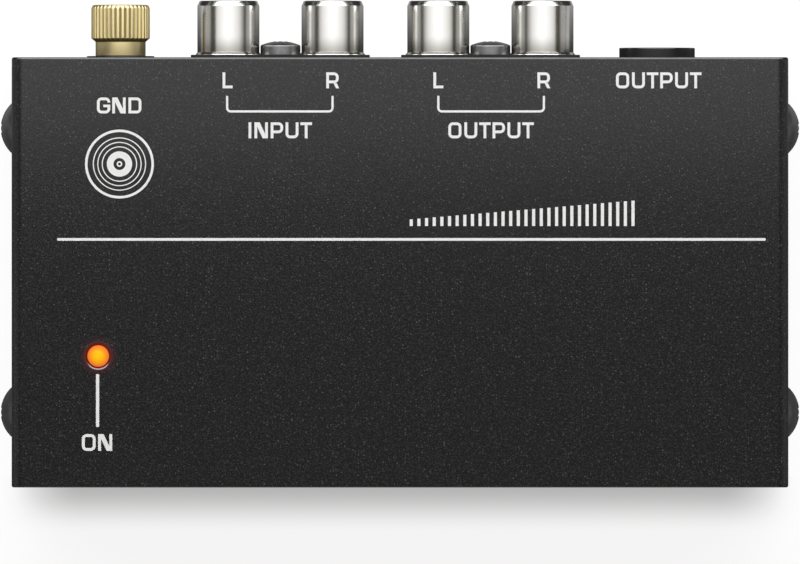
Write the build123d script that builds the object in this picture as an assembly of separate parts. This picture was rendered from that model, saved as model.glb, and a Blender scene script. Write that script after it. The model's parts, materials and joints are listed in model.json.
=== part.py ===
from build123d import *
import os

# A small phono preamp in a folded steel case. Millimetres.
# X runs to the right, Y to the rear panel with its sockets, Z up. The pieces are laid out about the
# middle of the case, on the surface that the feet stand on, and are written with the origin under the
# middle of the whole outline, which the sockets carry past the rear panel.

# ---------------------------------------------------------------- case
case_width = 104.0  # over the cover's two sides
case_depth = 57.6  # front edge to rear edge of the cover
case_height = 30.0  # underside of the chassis to the top of the cover
cover_sheet = 1.0
cover_bend = 1.3  # outer radius of the cover's two bends
cover_edge_round = 0.28  # worn-in rounding of the cover's outer edges
chassis_sheet = 1.0
chassis_bend = 1.3
case_gap = 0.15  # air between the chassis and the cover
panel_inset = 0.15  # front and rear panels behind the cover's edges
ear_length = 14.5  # side flanges, from the panels' inner faces
ear_relief = 2.5  # notch height where a flange leaves the base

foot_height = 2.0
foot_radius = 4.0
foot_round = 0.6
foot_inset = 9.0  # foot centre from the cover's sides and edges

base_z = foot_height
top_z = base_z + case_height
half_width = case_width / 2
half_depth = case_depth / 2
chassis_half = half_width - cover_sheet - case_gap
panel_y = half_depth - panel_inset
panel_inner_y = panel_y - chassis_sheet
panel_top = top_z - cover_sheet - case_gap
ear_y = panel_inner_y - ear_length
floor_z = base_z + chassis_sheet

# ---------------------------------------------------------------- fasteners
shaft_gap = 0.05  # air around a threaded shaft in its hole
hole_gap = 0.2  # air around a shaft in a plain clearance hole

side_screw_radius = 1.45
side_screw_length = 4.2
side_screw_head = 3.55
side_screw_dome = 1.68
side_screw_rear = 9.43  # screw axis from the cover's rear edge
side_screw_front = 10.02  # screw axis from the cover's front edge
side_screw_height = 15.0  # above the underside of the chassis
side_screw_z = base_z + side_screw_height

cross_width = 0.8
cross_length = 2.9
cross_depth = 0.9
cross_turn = 45

# ---------------------------------------------------------------- circuit board
board_sheet = 1.6
board_edge_gap = 1.0  # board edge from the panels' inner faces
board_side_gap = 1.35  # board edge from the side flanges
post_height = 4.0
post_flats = 5.0
post_shank = 2.1
board_screw_radius = 1.2
board_screw_length = 5.2
board_screw_head = 2.25
board_screw_rim = 0.9
board_screw_dome = 0.7
post_side_inset = 2.5  # post axis from the board's side edges
post_end_inset = 5.65  # post axis from the board's front and rear edges
front_post_step = 15.0  # the front left post stands this much further in, beside the power inlet
middle_post_y = 7.3

board_z = floor_z + post_height
board_top = board_z + board_sheet
board_half_x = chassis_half - chassis_sheet - board_side_gap
board_half_y = panel_inner_y - board_edge_gap
post_x = board_half_x - post_side_inset
post_y = board_half_y - post_end_inset

pin_size = 0.7  # square solder pins
pin_gap = 0.15
pin_below_board = 1.2
pin_pocket = 2.0  # how far a pin reaches up into its moulding
pin_low = board_z - pin_below_board
lead_radius = 0.3  # round component leads

# ---------------------------------------------------------------- phono sockets
socket_axis_height = 8.6  # above the board
socket_z = board_top + socket_axis_height
shell_radius = 4.125
shell_wall = 0.5
shell_reach = 7.76  # beyond the cover's rear edge
shell_lip = 0.49
shell_seat = 3.0  # depth of the shell in its moulding
socket_pitch = 14.0
insulator_recess = 0.9
insulator_funnel = 0.4  # chamfer around its hole
contact_bore = 1.62
contact_grip = 5.0  # length that grips a plug's pin, from the contact's mouth
contact_relief = 1.8  # bore behind the grip
contact_wall = 0.45
contact_recess = 1.15  # contact's mouth behind the insulator's face
contact_floor_gap = 0.15
block_margin = 5.0  # moulding beyond each shell axis
block_depth = 10.0
block_floor = 1.5  # moulding behind the contacts
earth_pin_depth = 3.5  # a block's solder pins, in front and behind, from the panel
signal_pin_depth = 8.5
block_above_axis = 6.8
plate_sheet = 0.55
plate_height = 12.0
plate_round = 0.6
input_from_ground = 21.49  # middle of the input pair from the ground post
output_from_line = 22.4  # middle of the output pair from the line socket
block_screw_radius = 1.2
block_screw_length = 8.0
block_screw_head = 2.65
block_screw_rim = 0.95
block_screw_dome = 0.7
block_width = socket_pitch + 2 * block_margin
shell_tip_y = half_depth + shell_reach
shell_root_y = panel_inner_y - shell_seat
contact_outer = contact_bore + contact_wall
insulator_radius = shell_radius - shell_wall - shaft_gap

# ---------------------------------------------------------------- ground post
ground_x = -37.56
ground_height = socket_z
stud_radius = 1.95
stud_tip_recess = 0.6
stud_inside = 5.5
stud_chamfer = 0.4
washer_radius = 4.53
washer_sheet = 0.42
nut_collar_radius = 3.285
nut_collar_height = 1.85
nut_height = 6.88
nut_radius = 3.895
nut_low_chamfer = 0.47
nut_high_chamfer = 0.36
nut_high_slope = 0.5
knurl_count = 36
knurl_depth = 0.28
tag_sheet = 0.5
tag_ring = 3.6
tag_width = 2.2
tag_foot = 5.0  # how far the tag runs in over the board before it turns down
tag_rise = 3.0  # height of that run above the board
lock_nut_flats = 7.0
lock_nut_height = 2.4

# ---------------------------------------------------------------- line output socket
line_x = 34.55
nose_radius = 5.085
nose_reach = 1.38  # beyond the cover's rear edge
nose_chamfer = 0.1
line_body_width = 15.6
line_body_depth = 31.5
line_body_above = 7.0
line_wall = 1.5
line_bore = 3.25
sleeve_wall = 0.35
sleeve_length = 8.0
sleeve_recess = 0.3
line_cavity_above = 5.5
leaf_sheet = 0.35
leaf_height = 3.0
leaf_root_radius = 0.4
leaf_root_from_wall = 0.7  # root bead from the cavity's side wall
tip_leaf_root = 14.1  # root and contact of the tip leaf, behind the socket's mouth
tip_leaf_contact = 26.5
ring_leaf_root = 27.6
ring_leaf_contact = 18.6
leaf_contact_radius = 2.4  # inner face of a leaf's crown, from the socket's axis
leaf_flare = 1.2
leaf_flare_length = 2.0
terminal_gap = 0.12
terminal_sheet = 0.5
terminal_width = 1.2
line_mouth_y = half_depth + nose_reach
line_z = socket_z
line_back_y = panel_inner_y - line_body_depth

# ---------------------------------------------------------------- power inlet
inlet_edge = 11.6  # inlet axis from the cover's left side
inlet_width = 9.0
inlet_height = 11.0
inlet_depth = 14.4
inlet_axis_height = 6.5  # above the board
inlet_bore = 3.1
inlet_bore_depth = 9.6
inlet_pin_radius = 1.05
inlet_pin_recess = 1.2
inlet_shank_radius = 1.3  # thicker root of the pin in the moulding
inlet_window_gap = 0.12
inlet_tag_sheet = 0.4
inlet_tag_width = 2.0
inlet_leaf_width = 2.2
inlet_leaf_sheet = 0.3
inlet_leaf_root = 11.2  # root and crown of the sprung leaf, behind the inlet's face
inlet_leaf_crown = 5.4
inlet_leaf_tip = 3.3
inlet_leaf_intrusion = 0.55  # crown inside the bore's wall
inlet_leaf_drop = 1.1
inlet_slot_front = 1.8  # slot under the bore, behind the inlet's face
inlet_x = -half_width + inlet_edge
inlet_z = board_top + inlet_axis_height

# ---------------------------------------------------------------- power lamp
lamp_edge = 11.6  # lamp axis from the cover's left side
lamp_front = 17.6  # lamp axis from the cover's front edge
lamp_radius = 1.5
lamp_height = 5.3
lamp_rim_radius = 1.9
lamp_rim_height = 1.0
lamp_proud = 0.9  # dome above the cover
lamp_hole_radius = 1.87
lamp_lead = 0.5
lamp_lead_pitch = 2.54
spacer_radius = 2.2
spacer_bore = 0.5
lamp_x = -half_width + lamp_edge
lamp_y = -half_depth + lamp_front
lamp_base_z = top_z + lamp_proud - lamp_height

# ---------------------------------------------------------------- parts on the board
input_x = ground_x + input_from_ground
output_x = line_x - output_from_line
middle_post_x = (input_x + output_x) / 2
post_places = [
    (-post_x, post_y),
    (middle_post_x, middle_post_y),
    (-post_x + front_post_step, -post_y),
    (post_x, -post_y),
]
chip_length = 4.9
chip_width = 3.9
chip_height = 1.5
chip_lift = 0.15
chip_pin_pitch = 1.27
chip_pin_width = 0.42
chip_span = 6.0
chip_pin_sheet = 0.2
chip_pin_shoulder = 0.35
chip_y = 6.5
small_can_radius = 3.15
small_can_height = 11.0
small_can_lead_pitch = 2.5
small_can_count = 6
small_can_pitch = 9.6
small_can_first = -12.0  # first can from the middle of the input pair
small_can_y = -4.2
large_can_radius = 4.0
large_can_height = 12.0
large_can_lead_pitch = 3.5
large_can_pitch = 9.6
large_can_first = -3.9  # first can from the line socket's axis
large_can_gap = 0.75  # air between the large cans and the line socket's body
large_can_y = line_back_y - large_can_gap - large_can_radius
can_groove = 0.25
can_groove_height = 1.4
box_cap_length = 7.2
box_cap_width = 3.2
box_cap_height = 7.5
box_cap_lead_pitch = 5.0
box_cap_offset = 8.4  # box capacitors either side of each chip
box_cap_rows = (2.2, 12.4)
resistor_radius = 1.15
resistor_length = 6.3
resistor_span = 9.6
resistor_count = 12
resistor_pitch = 3.7
resistor_first = -8.0  # first resistor from the middle of the input pair
resistor_y = -14.6
diode_radius = 1.35
diode_length = 5.0
diode_span = 8.6
diode_pitch = 3.7
diode_side = -0.9  # from the line socket's axis
diode_gap = 1.0  # air between the first diode and the large cans
regulator_radius = 2.3
regulator_flat = 1.1
regulator_height = 4.8
regulator_lift = 1.6
regulator_lead_pitch = 1.27
regulator_side = -9.9  # from the line socket's axis
supply_y = large_can_y - large_can_radius - diode_gap - diode_radius
body_lift = 0.1  # lying parts above the board


def boxed(low, high):
    """Solid box between two opposite corners."""
    size = [b - a for a, b in zip(low, high)]
    middle = [(a + b) / 2 for a, b in zip(low, high)]
    return Pos(*middle) * Box(*size)


def rearward(x, y, z):
    """Location at a point, with the local Z axis pointing to the rear."""
    return Pos(x, y, z) * Rot(-90, 0, 0)


def turned(*outline):
    """Solid of revolution about Z from a closed outline of (radius, height) points."""
    return revolve(make_face(Plane.XZ * Polyline(*outline, close=True)), Axis.Z)


def rod(radius, low, high):
    """Cylinder about Z between two heights."""
    return Pos(0, 0, (low + high) / 2) * Cylinder(radius, high - low)


def tube(outer, bore, low, high):
    """Hollow cylinder about Z between two heights."""
    return rod(outer, low, high) - rod(bore, low - 1, high + 1)


def ribbon(points, sheet):
    """Flat outline in XY of a strip of even thickness that follows points."""
    return trace(Polyline(*points), sheet)


def screw(head, rim, dome, shaft, length):
    """Screw with a domed head on Z = 0, its shaft downwards and a cross recess in the head."""
    ball = (head**2 + dome**2) / (2 * dome)
    blank = rod(head, 0, rim + dome) & Pos(0, 0, rim + dome - ball) * Sphere(ball)
    recess_z = rim + dome - cross_depth / 2
    recess = Pos(0, 0, recess_z) * Rot(0, 0, cross_turn) * (
        Box(cross_length, cross_width, cross_depth) + Box(cross_width, cross_length, cross_depth)
    )
    return blank - recess + rod(shaft, -length, 0)


def group(pieces):
    """Several separate solids as one node."""
    return Compound(list(pieces))


def square_pins(places, low, high, size):
    """Upright square pins at (x, y) places."""
    return [
        boxed((x - size / 2, y - size / 2, low), (x + size / 2, y + size / 2, high)) for x, y in places
    ]


# ================================================================ case
side_screw_places = [
    (side, y, side_screw_z)
    for side in (-1, 1)
    for y in (half_depth - side_screw_rear, -half_depth + side_screw_front)
]


def top_cover():
    """Folded cover: top and two sides, open at the front, rear and base."""
    outer = Rectangle(case_width, case_height)
    outer = fillet(outer.vertices().group_by(Axis.Y)[-1], cover_bend)
    inner_height = case_height - cover_sheet
    inner = Pos(0, -cover_sheet / 2) * Rectangle(case_width - 2 * cover_sheet, inner_height)
    inner = fillet(inner.vertices().group_by(Axis.Y)[-1], cover_bend - cover_sheet)
    profile = Plane.XZ * (outer - inner)
    cover = Pos(0, 0, base_z + case_height / 2) * extrude(profile, case_depth / 2, both=True)
    ends = cover.faces().filter_by(Axis.Y)
    middle = Vector(0, 0, base_z)

    def is_outside(edge):
        """True on the outline of an end face that lies on the cover's outer skin."""
        at = edge.center() - middle
        return abs(at.X) > half_width - cover_bend / 2 or at.Z > case_height - cover_sheet / 4

    outside = [edge for face in ends for edge in face.edges() if is_outside(edge)]
    outside = [edge for edge in outside if edge.center().Z > base_z + cover_sheet]
    cover = fillet(outside, cover_edge_round)
    cover -= Pos(lamp_x, lamp_y, top_z) * Cylinder(lamp_hole_radius, 4 * cover_sheet)
    for side, y, z in side_screw_places:
        hole = Cylinder(side_screw_radius + hole_gap, 4 * cover_sheet)
        cover -= Pos(side * half_width, y, z) * Rot(0, 90, 0) * hole
    return cover


def chassis():
    """Folded base with front and rear panels and four side flanges for the cover's screws."""
    outer = RectangleRounded(2 * chassis_half, 2 * panel_y, chassis_bend)
    inner = RectangleRounded(
        2 * (chassis_half - chassis_sheet), 2 * panel_inner_y, chassis_bend - chassis_sheet
    )
    relief_z = base_z + ear_relief
    upper = Pos(0, 0, relief_z) * extrude(outer - inner, panel_top - relief_z)
    upper -= boxed((-half_width, -ear_y, relief_z - 1), (half_width, ear_y, top_z))

    bend_inner = chassis_bend - chassis_sheet
    low_outer = Pos(0, case_height / 2) * Rectangle(2 * panel_y, case_height)
    low_outer = fillet(low_outer.vertices().group_by(Axis.Y)[0], chassis_bend)
    low_inner = Pos(0, chassis_sheet + case_height / 2) * Rectangle(2 * panel_inner_y, case_height)
    low_inner = fillet(low_inner.vertices().group_by(Axis.Y)[0], bend_inner)
    lower = Plane.YZ * (low_outer - low_inner)
    lower = Pos(0, 0, base_z) * extrude(lower, chassis_half, both=True)
    lower -= boxed((-half_width, -half_depth, relief_z), (half_width, half_depth, top_z + case_height))
    for sx in (-1, 1):
        for sy in (-1, 1):
            notch = Box(2 * chassis_bend, 2 * chassis_bend, 3 * case_height)
            lower -= Pos(sx * chassis_half, sy * panel_y, base_z) * notch
    body = upper + lower

    wall = 4 * chassis_sheet
    holes = [(ground_x, ground_height, stud_radius + shaft_gap)]
    holes.append((line_x, line_z, nose_radius + hole_gap))
    for block_x in (input_x, output_x):
        holes.append((block_x, socket_z, block_screw_radius + hole_gap))
        for side in (-1, 1):
            holes.append((block_x + side * socket_pitch / 2, socket_z, shell_radius + hole_gap))
    for x, z, radius in holes:
        body -= rearward(x, panel_y, z) * Cylinder(radius, wall)
    gap = inlet_window_gap
    body -= boxed(
        (inlet_x - inlet_width / 2 - gap, -half_depth - wall, board_top - gap),
        (inlet_x + inlet_width / 2 + gap, -panel_inner_y + gap, board_top + inlet_height + gap),
    )
    for side, y, z in side_screw_places:
        hole = Cylinder(side_screw_radius + shaft_gap, wall)
        body -= Pos(side * chassis_half, y, z) * Rot(0, 90, 0) * hole
    for x, y in post_places:
        body -= Pos(x, y, base_z) * Cylinder(post_shank + shaft_gap, wall)
    return body


def cover_screws():
    """Four domed screws through the cover's sides into the chassis flanges."""
    blank = screw(side_screw_head, 0, side_screw_dome, side_screw_radius, side_screw_length)
    return group(
        Pos(side * half_width, y, z) * Rot(0, side * 90, 0) * blank for side, y, z in side_screw_places
    )


def rubber_feet():
    """Four round stick-on feet."""
    foot = rod(foot_radius, 0, foot_height)
    foot = fillet(foot.edges().group_by(Axis.Z)[0], foot_round)
    foot_x = half_width - foot_inset
    foot_y = half_depth - foot_inset
    return group(Pos(sx * foot_x, sy * foot_y, 0) * foot for sx in (-1, 1) for sy in (-1, 1))


# ================================================================ ground post
def ground_stud():
    """Threaded stud through the rear panel; a plain rod stands for its thread."""
    tip = panel_y + washer_sheet + nut_height - stud_tip_recess
    low = panel_inner_y - stud_inside
    length = tip - low
    waist = stud_radius - stud_chamfer
    outline = (
        (0, 0),
        (waist, 0),
        (stud_radius, stud_chamfer),
        (stud_radius, length - stud_chamfer),
        (waist, length),
        (0, length),
    )
    return rearward(ground_x, low, ground_height) * turned(*outline)


def ground_tag():
    """Ring tag behind the panel, with a strip that steps over to the board."""
    back = panel_inner_y - tag_sheet
    ring = rearward(ground_x, back, ground_height) * tube(
        tag_ring, stud_radius + shaft_gap, 0, tag_sheet
    )
    left = ground_x - tag_width / 2
    right = ground_x + tag_width / 2
    run_z = board_top + tag_rise
    foot_y = panel_inner_y - tag_foot
    drop = boxed((left, back, run_z), (right, panel_inner_y, ground_height - tag_ring + tag_sheet))
    run = boxed((left, foot_y, run_z), (right, panel_inner_y, run_z + tag_sheet))
    shoulder = boxed((left, foot_y, board_top), (right, foot_y + tag_sheet, run_z + tag_sheet))
    pin = square_pins([(ground_x, foot_y + tag_sheet / 2)], pin_low, run_z, tag_sheet)[0]
    return ring + drop + run + shoulder + pin


def ground_lock_nut():
    """Hexagon nut that holds the stud and the tag to the panel."""
    blank = extrude(RegularPolygon(lock_nut_flats / 2, 6, major_radius=False), lock_nut_height)
    blank -= rod(stud_radius + shaft_gap, -1, lock_nut_height + 1)
    low = panel_inner_y - tag_sheet - lock_nut_height
    return rearward(ground_x, low, ground_height) * blank


def ground_washer():
    """Flat washer, loose on the stud, between the panel and the thumb nut."""
    ring = tube(washer_radius, stud_radius + shaft_gap, 0, washer_sheet)
    return rearward(ground_x, panel_y, ground_height) * ring


def ground_thumb_nut():
    """Knurled thumb nut with a plain collar."""
    bore = stud_radius + shaft_gap
    outline = (
        (bore, 0),
        (nut_collar_radius, 0),
        (nut_collar_radius, nut_collar_height),
        (nut_radius, nut_collar_height + nut_low_chamfer),
        (nut_radius, nut_height - nut_high_chamfer),
        (nut_radius - nut_high_slope, nut_height),
        (bore, nut_height),
    )
    nut = turned(*outline)
    reach = nut_radius + knurl_depth
    groove = Polyline(
        (nut_radius - knurl_depth, 0), (reach, knurl_depth * 2), (reach, -knurl_depth * 2), close=True
    )
    cutter = Pos(0, 0, nut_collar_height) * extrude(make_face(groove), nut_height)
    nut -= [turn * cutter for turn in PolarLocations(0, knurl_count)]
    return rearward(ground_x, panel_y + washer_sheet, ground_height) * nut


# ================================================================ phono sockets
def socket_places(block_x):
    """X of the left and the right socket of a pair."""
    return (block_x - socket_pitch / 2, block_x + socket_pitch / 2)


def block_pin_places(block_x):
    """Where a socket block's solder pins stand: two earths in front, two signals behind."""
    front_y = panel_inner_y - earth_pin_depth
    rear_y = panel_inner_y - signal_pin_depth
    return [(x, y) for x in socket_places(block_x) for y in (front_y, rear_y)]


def jack_plate(block_x):
    """Thin insulating plate on the rear panel, around both shells of a pair."""
    plate = extrude(RectangleRounded(block_width, plate_height, plate_round), plate_sheet)
    for side in (-1, 1):
        plate -= Pos(side * socket_pitch / 2, 0) * rod(shell_radius + shaft_gap, -1, plate_sheet + 1)
    plate -= rod(block_screw_radius + hole_gap, -1, plate_sheet + 1)
    return rearward(block_x, panel_y, socket_z) * plate


def jack_block(block_x):
    """Moulding behind the panel that carries two shells and stands on the board."""
    low_y = panel_inner_y - block_depth
    half = block_width / 2
    block = boxed(
        (block_x - half, low_y, board_top), (block_x + half, panel_inner_y, socket_z + block_above_axis)
    )
    for x in socket_places(block_x):
        block -= rearward(x, shell_root_y, socket_z) * rod(shell_radius + shaft_gap, 0, block_depth)
        block -= rearward(x, low_y + block_floor, socket_z) * rod(contact_outer + shaft_gap, 0, block_depth)
    screw_hole = rod(block_screw_radius + shaft_gap, -block_screw_length, 1)
    block -= rearward(block_x, panel_inner_y, socket_z) * screw_hole
    pockets = square_pins(
        block_pin_places(block_x), board_top - 1, board_top + pin_pocket, pin_size + 2 * shaft_gap
    )
    return block - pockets


def shell(x):
    """Plated outer contact: a tube with a rounded lip."""
    length = shell_tip_y - shell_root_y
    body = tube(shell_radius, shell_radius - shell_wall, 0, length)
    lip = body.edges().filter_by(GeomType.CIRCLE).group_by(Axis.Z)[-1].sort_by(SortBy.RADIUS)[-1]
    body = fillet(lip, shell_lip)
    return rearward(x, shell_root_y, socket_z) * body


def insulator(x):
    """Moulded ring inside a shell, in the channel's colour, around the centre contact."""
    length = shell_tip_y - insulator_recess - shell_root_y
    ring = tube(insulator_radius, contact_outer + shaft_gap, 0, length)
    mouth = ring.edges().filter_by(GeomType.CIRCLE).group_by(Axis.Z)[-1].sort_by(SortBy.RADIUS)[0]
    ring = chamfer(mouth, insulator_funnel)
    return rearward(x, shell_root_y, socket_z) * ring


def centre_contacts(block_x):
    """Two sleeves that take the plugs' centre pins."""
    low = panel_inner_y - block_depth + block_floor + contact_floor_gap
    high = shell_tip_y - insulator_recess - contact_recess
    length = high - low
    sleeve = tube(contact_outer, contact_bore, 0, length) - rod(contact_relief, -1, length - contact_grip)
    return group(rearward(x, low, socket_z) * sleeve for x in socket_places(block_x))


def jack_screw(block_x):
    """Domed screw through plate and panel into the moulding."""
    blank = screw(
        block_screw_head, block_screw_rim, block_screw_dome, block_screw_radius, block_screw_length
    )
    return rearward(block_x, panel_y + plate_sheet, socket_z) * blank


def jack_pins(block_x):
    """Solder pins of a socket block."""
    return group(
        square_pins(block_pin_places(block_x), pin_low, board_top + pin_pocket - shaft_gap, pin_size)
    )


# ================================================================ line output socket
line_cavity_half = line_body_width / 2 - line_wall
line_cavity_rear = line_mouth_y - sleeve_recess - sleeve_length
line_cavity_front = line_back_y + line_wall
leaf_root_x = line_cavity_half - leaf_root_from_wall
leaf_contact_x = leaf_contact_radius + leaf_sheet / 2


def line_body():
    """Moulded socket body: nose through the panel, bore, and a contact chamber open to the board."""
    half = line_body_width / 2
    body = boxed(
        (line_x - half, line_back_y, board_top), (line_x + half, panel_inner_y, line_z + line_body_above)
    )
    nose = rod(nose_radius, 0, line_mouth_y - panel_inner_y)
    nose = chamfer(nose.edges().group_by(Axis.Z)[-1], nose_chamfer)
    body += rearward(line_x, panel_inner_y, line_z) * nose
    body -= rearward(line_x, line_mouth_y, line_z) * rod(
        line_bore + sleeve_wall + shaft_gap, -sleeve_length - sleeve_recess, 1
    )
    body -= boxed(
        (line_x - line_cavity_half, line_cavity_front, board_top - 1),
        (line_x + line_cavity_half, line_cavity_rear, line_z + line_cavity_above),
    )
    return body


def line_sleeve():
    """Earth contact: a plated sleeve in the mouth of the socket."""
    sleeve = tube(line_bore + sleeve_wall, line_bore, 0, sleeve_length)
    return rearward(line_x, line_mouth_y - sleeve_recess - sleeve_length, line_z) * sleeve


def contact_leaf(side, root, contact):
    """Sprung contact leaf: bead at its root, a slope to the crown, then a flared end."""
    heading = 1 if contact > root else -1
    root_y = line_mouth_y - root
    crown_y = line_mouth_y - contact
    points = [
        (leaf_root_x, root_y),
        (leaf_contact_x, crown_y),
        (leaf_contact_x + leaf_flare, crown_y - heading * leaf_flare_length),
    ]
    leaf = ribbon([(line_x + side * x, y) for x, y in points], leaf_sheet)
    leaf += Pos(line_x + side * leaf_root_x, root_y) * Circle(leaf_root_radius)
    return Pos(0, 0, line_z - leaf_height / 2) * extrude(leaf, leaf_height)


def line_terminals():
    """Fixed feet of the two leaves and of the sleeve, down through the board."""
    reach = leaf_root_radius + terminal_gap
    feet = []
    for side, root, away in ((1, tip_leaf_root, 1), (-1, ring_leaf_root, -1)):
        x = line_x + side * leaf_root_x
        y = line_mouth_y - root + away * (reach + terminal_sheet / 2)
        strip = boxed(
            (x - terminal_width / 2, y - terminal_sheet / 2, board_top),
            (x + terminal_width / 2, y + terminal_sheet / 2, line_z + leaf_height / 2),
        )
        feet.append(strip + square_pins([(x, y)], pin_low, board_top + 1, terminal_sheet)[0])
    sleeve_y = line_cavity_rear - terminal_sheet / 2
    foot = boxed(
        (line_x - terminal_width / 2, sleeve_y - terminal_sheet / 2, board_top),
        (line_x + terminal_width / 2, sleeve_y + terminal_sheet / 2, line_z - line_bore),
    )
    feet.append(foot + square_pins([(line_x, sleeve_y)], pin_low, board_top + 1, terminal_sheet)[0])
    return group(feet)


def line_terminal_places():
    """Where the line socket's feet pass through the board."""
    reach = leaf_root_radius + terminal_gap + terminal_sheet / 2
    return [
        (line_x + leaf_root_x, line_mouth_y - tip_leaf_root + reach),
        (line_x - leaf_root_x, line_mouth_y - ring_leaf_root - reach),
        (line_x, line_cavity_rear - terminal_sheet / 2),
    ]


# ================================================================ power inlet
inlet_back_y = -panel_y + inlet_depth
inlet_root_y = -panel_y + inlet_leaf_root
inlet_crown_z = inlet_z - inlet_bore + inlet_leaf_intrusion - inlet_leaf_sheet / 2
inlet_root_z = inlet_crown_z - inlet_leaf_drop - inlet_leaf_intrusion
inlet_tag_y = inlet_back_y + inlet_tag_sheet / 2
inlet_foot_y = inlet_root_y + leaf_root_radius + terminal_gap + terminal_sheet / 2


def inlet_body():
    """Moulded power inlet, flush in the front panel, with a round bore and a slot under it."""
    half = inlet_width / 2
    body = boxed(
        (inlet_x - half, -panel_y, board_top), (inlet_x + half, inlet_back_y, board_top + inlet_height)
    )
    body -= rearward(inlet_x, -panel_y, inlet_z) * rod(inlet_bore, -1, inlet_bore_depth)
    body -= rearward(inlet_x, -panel_y, inlet_z) * rod(inlet_shank_radius + shaft_gap, 0, inlet_depth + 1)
    slot = inlet_leaf_width / 2 + hole_gap
    body -= boxed(
        (inlet_x - slot, -panel_y + inlet_slot_front, board_top - 1),
        (inlet_x + slot, inlet_foot_y + terminal_sheet, inlet_z - inlet_bore / 2),
    )
    return body


def inlet_pin():
    """Centre pin of the inlet with its tag down to the board."""
    pin = rod(inlet_pin_radius, inlet_pin_recess, inlet_bore_depth)
    pin += rod(inlet_shank_radius, inlet_bore_depth, inlet_depth + inlet_tag_sheet)
    pin = rearward(inlet_x, -panel_y, inlet_z) * pin
    half = inlet_tag_width / 2
    tag = boxed(
        (inlet_x - half, inlet_back_y, board_top),
        (inlet_x + half, inlet_back_y + inlet_tag_sheet, inlet_z + inlet_shank_radius),
    )
    foot = square_pins([(inlet_x, inlet_tag_y)], pin_low, board_top + 1, inlet_tag_sheet)[0]
    return pin + tag + foot


def inlet_leaf():
    """Sprung contact under the inlet's bore."""
    points = [
        (inlet_root_y, inlet_root_z),
        (-panel_y + inlet_leaf_crown, inlet_crown_z),
        (-panel_y + inlet_leaf_tip, inlet_crown_z - inlet_leaf_drop),
    ]
    leaf = ribbon(points, inlet_leaf_sheet) + Pos(inlet_root_y, inlet_root_z) * Circle(leaf_root_radius)
    return Pos(inlet_x, 0, 0) * extrude(Plane.YZ * leaf, inlet_leaf_width / 2, both=True)


def inlet_terminal():
    """Fixed foot of the inlet's leaf, down through the board."""
    half = inlet_leaf_width / 2
    strip = boxed(
        (inlet_x - half, inlet_foot_y - terminal_sheet / 2, board_top),
        (inlet_x + half, inlet_foot_y + terminal_sheet / 2, inlet_root_z + leaf_root_radius),
    )
    return strip + square_pins([(inlet_x, inlet_foot_y)], pin_low, board_top + 1, terminal_sheet)[0]


# ================================================================ power lamp
lamp_lead_places = [(lamp_x - lamp_lead_pitch / 2, lamp_y), (lamp_x + lamp_lead_pitch / 2, lamp_y)]


def lamp():
    """Round domed lamp body with a rim at its base."""
    body = rod(lamp_radius, 0, lamp_height - lamp_radius)
    body += Pos(0, 0, lamp_height - lamp_radius) * Sphere(lamp_radius)
    body += rod(lamp_rim_radius, 0, lamp_rim_height)
    body &= rod(lamp_rim_radius, 0, lamp_height)
    return Pos(lamp_x, lamp_y, lamp_base_z) * body


def lamp_leads():
    """Two straight leads from the lamp down through the board."""
    return group(square_pins(lamp_lead_places, pin_low, lamp_base_z, lamp_lead))


def lamp_spacer():
    """Tall spacer that holds the lamp up to the cover."""
    post = Pos(lamp_x, lamp_y, 0) * rod(spacer_radius, board_top, lamp_base_z)
    for x, y in lamp_lead_places:
        post -= Pos(x, y, 0) * rod(spacer_bore, board_top - 1, lamp_base_z + 1)
    return post


# ================================================================ circuit board
small_can_places = [
    (input_x + small_can_first + i * small_can_pitch, small_can_y) for i in range(small_can_count)
]
large_can_places = [(line_x + large_can_first + i * large_can_pitch, large_can_y) for i in range(2)]
box_cap_places = [
    (x + side * box_cap_offset, y) for x in (input_x, output_x) for side in (-1, 1) for y in box_cap_rows
]
resistor_places = [(input_x + resistor_first + i * resistor_pitch, resistor_y) for i in range(resistor_count)]
regulator_place = (line_x + regulator_side, supply_y - diode_pitch / 2)
diode_places = [(line_x + diode_side, supply_y - i * diode_pitch) for i in range(2)]


def paired(places, pitch, along_y=False):
    """Two lead places about each middle, along X or along Y."""
    step = (0, pitch / 2) if along_y else (pitch / 2, 0)
    return [(x + s * step[0], y + s * step[1]) for x, y in places for s in (-1, 1)]


def regulator_leads():
    """Places of the regulator's three leads."""
    x, y = regulator_place
    return [(x + i * regulator_lead_pitch, y) for i in (-1, 0, 1)]


def board_holes():
    """Every hole in the board as (x, y, radius)."""
    square = pin_size / 2**0.5 + pin_gap
    thin = terminal_sheet / 2**0.5 + pin_gap
    round_lead = lead_radius + pin_gap
    holes = [(x, y, board_screw_radius + hole_gap) for x, y in post_places]
    for block_x in (input_x, output_x):
        holes += [(x, y, square) for x, y in block_pin_places(block_x)]
    feet = line_terminal_places() + lamp_lead_places
    feet += [(inlet_x, inlet_tag_y), (inlet_x, inlet_foot_y)]
    feet += [(ground_x, panel_inner_y - tag_foot + tag_sheet / 2)]
    holes += [(x, y, thin) for x, y in feet]
    leads = paired(small_can_places, small_can_lead_pitch)
    leads += paired(large_can_places, large_can_lead_pitch)
    leads += paired(box_cap_places, box_cap_lead_pitch)
    leads += paired(resistor_places, resistor_span, along_y=True)
    leads += paired(diode_places, diode_span)
    leads += regulator_leads()
    return holes + [(x, y, round_lead) for x, y in leads]


def circuit_board():
    """Drilled board on the four posts."""
    outline = Rectangle(2 * board_half_x, 2 * board_half_y)
    outline -= [Pos(x, y) * Circle(radius) for x, y, radius in board_holes()]
    return Pos(0, 0, board_z) * extrude(outline, board_sheet)


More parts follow.
